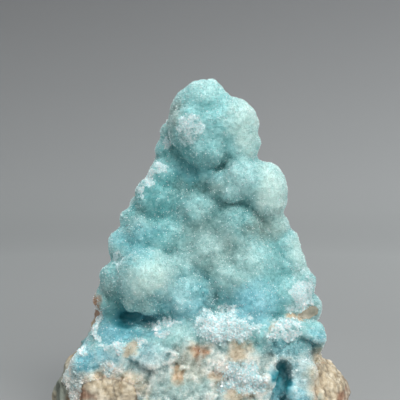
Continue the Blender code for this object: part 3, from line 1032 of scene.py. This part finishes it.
def maths(tree, operation, *values, clamp=False):
    made = node(tree, "ShaderNodeMath", operation=operation, use_clamp=clamp)
    for socket, value in zip(made.inputs, values):
        if isinstance(value, bpy.types.NodeSocket):
            tree.links.new(value, socket)
        else:
            socket.default_value = value
    return made.outputs[0]


def scaled_from(tree, value, middle, factor):
    """How far a value is from its middle, times a factor."""
    return maths(tree, "MULTIPLY", maths(tree, "SUBTRACT", value, middle), factor)


def frosted(tree):
    """Where the white tint shows: in specks, closer together where the tint is stronger."""
    specks = scaled_from(tree, texture_noise(tree, 800.0, 3.0), 0.5, 2.2)
    share = maths(tree, "MULTIPLY_ADD", attribute(tree, "white"), 0.62, specks)
    return grey_ramp(tree, share, ((0.38, 0.0), (0.64, 1.0)))


def tone_and_painted_shade(tree, lift):
    """How light the crust is painted at a point, from 0 in its creases to 1 on its crests: painted shade
    in creases, valleys and under the shade tint, painted light on crests, random tone over it.
    """
    # The crease and valley terms are painted shade and painted light; the noise terms are random tone.
    tone = scaled_from(tree, attribute(tree, "crease"), 1.0, -0.44)
    parts = (
        scaled_from(tree, attribute(tree, "valley"), 1.0, -0.36),
        scaled_from(tree, texture_noise(tree, 900.0, 3.0), 0.5, 0.34),
        scaled_from(tree, texture_noise(tree, 130.0, 3.0), 0.5, 0.45),
        lift,
        0.10,
    )
    for part in parts:
        tone = maths(tree, "ADD", tone, part)
    shade = maths(tree, "MULTIPLY", attribute(tree, "shade"), 0.30)
    return maths(tree, "SUBTRACT", tone, shade, clamp=True)


def crust_colour(tree, lift):
    """The crust's colour: painted shade of dark teal in creases, painted light on crests, with its tints
    laid over.
    """
    tone = tone_and_painted_shade(tree, lift)
    colours = {name: ramp(tree, tone, stops) for name, stops in PALETTES.items()}
    blotch = maths(tree, "ADD", texture_noise(tree, 330.0, 4.0, 0.65), scaled_from(tree, tone, 0.5, 0.5))
    colours["sugar"] = ramp(tree, blotch, SUGAR_COLOURS)
    colour = colours["teal"]
    for name in ("dull_and_shade", "sugar", "sky", "mint_and_highlight"):
        colour = mix(tree, attribute(tree, name), colour, colours[name])
    for where in (attribute(tree, "broken"), frosted(tree)):
        colour = mix(tree, where, colour, colours["white"])
    for name in ("tan", "rust"):
        colour = mix(tree, attribute(tree, name), colour, colours[name])
    # A flat dark painted shadow over the hollows, the crack and under the crown.
    return mix(tree, attribute(tree, "painted_shadow"), colour, PAINTED_SHADOW_COLOUR)


def bump(tree, shader, height, strength, distance):
    made = node(tree, "ShaderNodeBump", Strength=strength, Distance=distance)
    tree.links.new(height, made.inputs["Height"])
    tree.links.new(made.outputs["Normal"], shader.inputs["Normal"])


def translucent(shader, weight, depth):
    shader.inputs["IOR"].default_value = 1.61
    shader.inputs["Subsurface Weight"].default_value = weight
    shader.inputs["Subsurface Radius"].default_value = (0.75, 0.95, 1.0)
    shader.inputs["Subsurface Scale"].default_value = depth * MM


def crust_material():
    made, tree, shader = material("blue_crust")
    tree.links.new(crust_colour(tree, 0.0), shader.inputs["Base Color"])
    rough = grey_ramp(tree, texture_noise(tree, 1500.0, 2.0), ((0.3, 0.35), (0.7, 0.6)))
    tree.links.new(rough, shader.inputs["Roughness"])
    shader.inputs["Specular IOR Level"].default_value = 0.3
    translucent(shader, 0.95, 3.6)
    bump(tree, shader, texture_cells(tree, 2600.0), 0.45, 0.00025)
    return made


def druse_material():
    """The grains: a few of them, in clusters, carry painted white glints."""
    made, tree, shader = material("druse")
    spark = attribute(tree, "spark")
    # Painted glints: a few random grains, in clusters, take a white base colour.
    cluster = scaled_from(tree, texture_noise(tree, 240.0, 2.0), 0.5, 0.16)
    painted_glints = grey_ramp(tree, maths(tree, "ADD", spark, cluster), ((0.930, 0.0), (0.955, 1.0)))
    lift = scaled_from(tree, spark, 0.4, 0.24)
    colour = mix(tree, painted_glints, crust_colour(tree, lift), PAINTED_GLINT_COLOUR)
    tree.links.new(colour, shader.inputs["Base Color"])
    shader.inputs["Roughness"].default_value = 0.2
    shader.inputs["Specular IOR Level"].default_value = 0.4
    translucent(shader, 0.7, 1.0)
    return made


def frost_material():
    """The fibres and shards: white in specks, and else as light as the crust's crests."""
    made, tree, shader = material("frost")
    snow = ramp(tree, attribute(tree, "spark"), SNOW_COLOURS)
    colour = mix(tree, frosted(tree), crust_colour(tree, 0.1), snow)
    tree.links.new(colour, shader.inputs["Base Color"])
    shader.inputs["Roughness"].default_value = 0.3
    translucent(shader, 0.7, 1.0)
    return made


def limonite_colour(tree):
    """Patches of brown and tan with a pale stain, dark seams, painted shade in creases and the tints."""
    colour = ramp(tree, texture_noise(tree, 95.0, 6.0, 0.6), ROCK_COLOURS)
    dark = grey_ramp(tree, texture_noise(tree, 260.0, 5.0), ((0.35, 0.45), (0.60, 1.0)))
    colour = mix(tree, 0.7, colour, dark, "MULTIPLY")
    pale = grey_ramp(tree, texture_noise(tree, 60.0, 4.0), ((0.50, 0.0), (0.66, 1.0)))
    colour = mix(tree, pale, colour, ROCK_PALE)
    tan = ramp(tree, texture_noise(tree, 420.0, 5.0, 0.7), ROCK_TAN)
    colour = mix(tree, attribute(tree, "tan"), colour, tan)
    veins = grey_ramp(tree, vein_noise(tree), ((0.455, 1.0), (0.50, 0.38), (0.545, 1.0)))
    colour = mix(tree, 0.8, colour, veins, "MULTIPLY")
    for name, tint in ROCK_TINTS.items():
        colour = mix(tree, attribute(tree, name), colour, tint)
    # Painted shade: the limonite darkens in its creases.
    depth = grey_ramp(tree, attribute(tree, "crease"), ((0.45, 1.0), (0.95, 0.42)))
    return mix(tree, 1.0, colour, depth, "MULTIPLY")


def limonite_material():
    made, tree, shader = material("limonite")
    tree.links.new(limonite_colour(tree), shader.inputs["Base Color"])
    rough = grey_ramp(tree, texture_noise(tree, 500.0), ((0.3, 0.6), (0.7, 0.95)))
    tree.links.new(rough, shader.inputs["Roughness"])
    bump(tree, shader, texture_noise(tree, 1100.0, 6.0, 0.7), 0.45, 0.0005)
    return made


def scatter(mesh, weights, count, rng):
    """Random points on a mesh, more of them where the weights of its vertices are higher."""
    mesh.calc_loop_triangles()
    corners = np.empty(len(mesh.loop_triangles) * 3, dtype=np.int32)
    mesh.loop_triangles.foreach_get("vertices", corners)
    corners = corners.reshape(-1, 3)
    a, b, c = (coordinates(mesh)[corners[:, k]] for k in range(3))
    area = np.linalg.norm(np.cross(b - a, c - a), axis=1)
    chance = np.cumsum(area * weights[corners].min(1))
    chosen = corners[np.searchsorted(chance / chance[-1], rng.random(count))]
    u, v = rng.random((2, count))
    over = u + v > 1
    u[over], v[over] = 1 - u[over], 1 - v[over]
    return chosen, np.stack([1 - u - v, u, v], 1)


def wedge_points(mesh, chosen, share, kind, rng):
    """The corners of one wedge at each chosen point: two at its foot and two on its ridge."""
    count = len(chosen)
    foot = (coordinates(mesh)[chosen] * share[:, :, None]).sum(1)
    up = (coordinates(mesh, "normal")[chosen] * share[:, :, None]).sum(1)
    up += rng.normal(0, kind["lean"], (count, 3)) / LEAN_DIVISOR
    up /= np.linalg.norm(up, axis=1)[:, None]
    side = np.cross(up, rng.normal(0, 1, (count, 3)))
    side /= np.linalg.norm(side, axis=1)[:, None]
    across = np.cross(side, up)
    sizes = [rng.uniform(*kind[key], count)[:, None] * MM for key in ("ridge", "thick", "tall")]
    ridge, thick, tall = sizes
    low = foot - up * kind["sunk"] * MM
    top = foot + up * tall
    feet = (low - across * thick / 2, low + across * thick / 2)
    tips = (top - side * ridge / 2, top + side * ridge / 2)
    return np.stack((*feet, *tips), 1).reshape(-1, 3)


def mesh_of(name, points, faces):
    made = bpy.data.meshes.new(name)
    made.vertices.add(len(points))
    made.vertices.foreach_set("co", points.ravel())
    made.loops.add(faces.size)
    made.loops.foreach_set("vertex_index", faces.ravel())
    made.polygons.add(len(faces))
    made.polygons.foreach_set("loop_start", np.arange(len(faces)) * 3)
    made.update(calc_edges=True)
    return made


def add_crystals(crust, values, name, kind, weights, seed, finish):
    """Crystals on the grown crust, each a closed wedge with a ridge, two slopes and two ends."""
    rng = np.random.default_rng(seed)
    count = kind["count"]
    chosen, share = scatter(crust.data, weights, count, rng)
    points = wedge_points(crust.data, chosen, share, kind, rng)
    wedge = np.array([(0, 1, 2), (0, 3, 1), (0, 2, 3), (1, 3, 2)])
    faces = (wedge[None] + (np.arange(count) * 4)[:, None, None]).reshape(-1, 3)
    made = mesh_of(name, points, faces)
    shared = {key: np.repeat((values[key][chosen] * share).sum(1), 4)
              for key in (*TINTS, "sugar", "crease", "valley", "broken")}
    shared["spark"] = np.repeat(rng.random(count), 4)
    write_values(made, shared)
    made.materials.append(finish)
    made.shade_flat()
    return link(bpy.data.objects.new(name, made))


def crystal_weights(crust, values):
    """Where grains, fibres and shards stand: all over, on the white broken parts, and low on them."""
    points = coordinates(crust.data)
    back = np.clip((points[:, 1] / MM - THIN_FROM) / THIN_FADE, 0, 1)
    # Grains stay off the painted shadow patches and the tan.
    bare = np.clip(values["painted_shadow"] * 1.4 + values["tan"] * 0.7, 0, 1)
    grains = values["outside"] * (1 - 0.97 * bare) * (1 - 0.5 * back)
    torn = np.clip(np.maximum(values["white"], values["broken"]) - LEAST_WHITE, 0, 1)
    fibres = values["outside"] * torn * (1 - 0.9 * bare)
    low = np.clip((SHARD_HEIGHT - points[:, 2] / MM) / SHARD_FADE, 0, 1)
    return grains, fibres + NEVER_NONE, fibres * fibres * low + NEVER_NONE


def dress(crust, values):
    """All the crystals on the crust, as four pieces."""
    grains, fibres, shards = crystal_weights(crust, values)
    sparkling, frosty = druse_material(), frost_material()
    druse = [add_crystals(crust, values, f"druse_{k + 1}", GRAINS, grains, seed, sparkling)
             for k, seed in enumerate(DRUSE_SEEDS)]
    druse.append(add_crystals(crust, values, "fibres", FIBRES, fibres, FIBRES_SEED, frosty))
    druse.append(add_crystals(crust, values, "shards", SHARDS, shards, SHARDS_SEED, frosty))
    return druse


def stage_material():
    """Grey that darkens with height, to the left and near the specimen, as in the photograph."""
    made, tree, shader = material("backdrop")
    where = node(tree, "ShaderNodeSeparateXYZ")
    tree.links.new(node(tree, "ShaderNodeTexCoord").outputs["Object"], where.inputs["Vector"])
    height = maths(tree, "DIVIDE", where.outputs["Z"], STAGE_FADE, clamp=True)
    aside = maths(tree, "MULTIPLY_ADD", where.outputs["X"], 0.5, 0.5, clamp=True)
    squares = [maths(tree, "MULTIPLY", where.outputs[axis], where.outputs[axis]) for axis in "XY"]
    away = maths(tree, "SQRT", maths(tree, "ADD", *squares))
    away = maths(tree, "MULTIPLY", away, 2.0, clamp=True)
    # The grey darkens with height and to the left as painted falloff of light, and near the specimen as
    # painted shade.
    colour = ramp(tree, height, STAGE_GREY_AND_PAINTED_FALLOFF)
    for shade in (grey_ramp(tree, aside, STAGE_PAINTED_SIDE_FALLOFF), grey_ramp(tree, away, STAGE_PAINTED_FLOOR_SHADE)):
        colour = mix(tree, 1.0, colour, shade, "MULTIPLY")
    tree.links.new(colour, shader.inputs["Base Color"])
    shader.inputs["Roughness"].default_value = 1.0
    shader.inputs["Specular IOR Level"].default_value = 0.0
    return made


def make_stage():
    """A round bowl: level under the specimen, then rising more and more steeply all round."""
    bm = bmesh.new()
    rings = []
    for step in range(STAGE_RINGS + 1):
        radius = STAGE_LEVEL + (STAGE_RADIUS - STAGE_LEVEL) * step / STAGE_RINGS
        height = STAGE_HEIGHT * ((radius - STAGE_LEVEL) / (STAGE_RADIUS - STAGE_LEVEL)) ** 3
        angles = [math.tau * k / STAGE_TURNS for k in range(STAGE_TURNS)]
        rings.append([bm.verts.new((radius * math.cos(angle), radius * math.sin(angle), height))
                      for angle in angles])
    bm.faces.new(rings[0])
    for low, high in zip(rings, rings[1:]):
        for k in range(STAGE_TURNS):
            after = (k + 1) % STAGE_TURNS
            bm.faces.new((low[k], low[after], high[after], high[k]))
    bmesh.ops.recalc_face_normals(bm, faces=bm.faces[:])
    stage = object_of(bm, "backdrop")
    stage.data.materials.append(stage_material())
    stage.data.shade_smooth()


def add_light(name, place, size, energy, colour):
    data = bpy.data.lights.new(name, "AREA")
    data.shape = "DISK"
    data.size = size
    data.energy = energy
    data.color = colour
    lamp = link(bpy.data.objects.new(name, data))
    lamp.location = place
    lamp.rotation_mode = "QUATERNION"
    lamp.rotation_quaternion = (Vector(LIGHT_AIM) - Vector(place)).to_track_quat("-Z", "Y")
    lamp.visible_camera = False


def make_light():
    for name, (place, size, energy, colour) in LAMPS.items():
        add_light(name, place, size, energy, colour)
    world = bpy.data.worlds.new("studio")
    bpy.context.scene.world = world
    world.use_nodes = True
    background = world.node_tree.nodes["Background"]
    background.inputs["Color"].default_value = AIR_COLOUR
    background.inputs["Strength"].default_value = AIR_STRENGTH


def make_camera():
    """The photograph's view: level with the specimen, a little from above, its foot cut off."""
    data = bpy.data.cameras.new("camera")
    data.sensor_width = CAMERA_SENSOR
    data.lens = CAMERA_LENS
    data.clip_start = 0.01
    camera = link(bpy.data.objects.new("camera", data))
    elevation = math.radians(CAMERA_ELEVATION)
    back = Vector((0.0, -math.cos(elevation), math.sin(elevation)))
    camera.location = Vector(CAMERA_TARGET) + back * CAMERA_DISTANCE
    camera.rotation_mode = "QUATERNION"
    camera.rotation_quaternion = (-back).to_track_quat("-Z", "Y")
    bpy.context.scene.camera = camera


def shift_to_frame(piece):
    piece.data.transform(Matrix.Translation(Vector(ORIGIN_MOVE) * MM))


def finish_rock(piece, finish):
    piece.data.materials.clear()
    piece.data.materials.append(finish)
    piece.data.shade_smooth()


def main():
    skin = make_skin()
    creases = find_creases(skin)
    cut_flat(skin)
    crust = part_off(skin, "blue_crust", "DIFFERENCE", SEAM)
    matrix = part_off(skin, "limonite", "INTERSECT", 0.0)
    bpy.data.objects.remove(skin)
    crust_values = paint(crust, creases)
    paint(matrix, creases)
    finish_rock(crust, crust_material())
    finish_rock(matrix, limonite_material())
    druse = dress(crust, crust_values)
    for piece in (crust, matrix, *druse):
        shift_to_frame(piece)
        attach(piece, "root")
    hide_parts("hemimorphite_crust")
    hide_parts("limonite_matrix")
    make_stage()
    make_light()
    make_camera()
    bpy.context.scene.view_settings.view_transform = "Standard"


main()
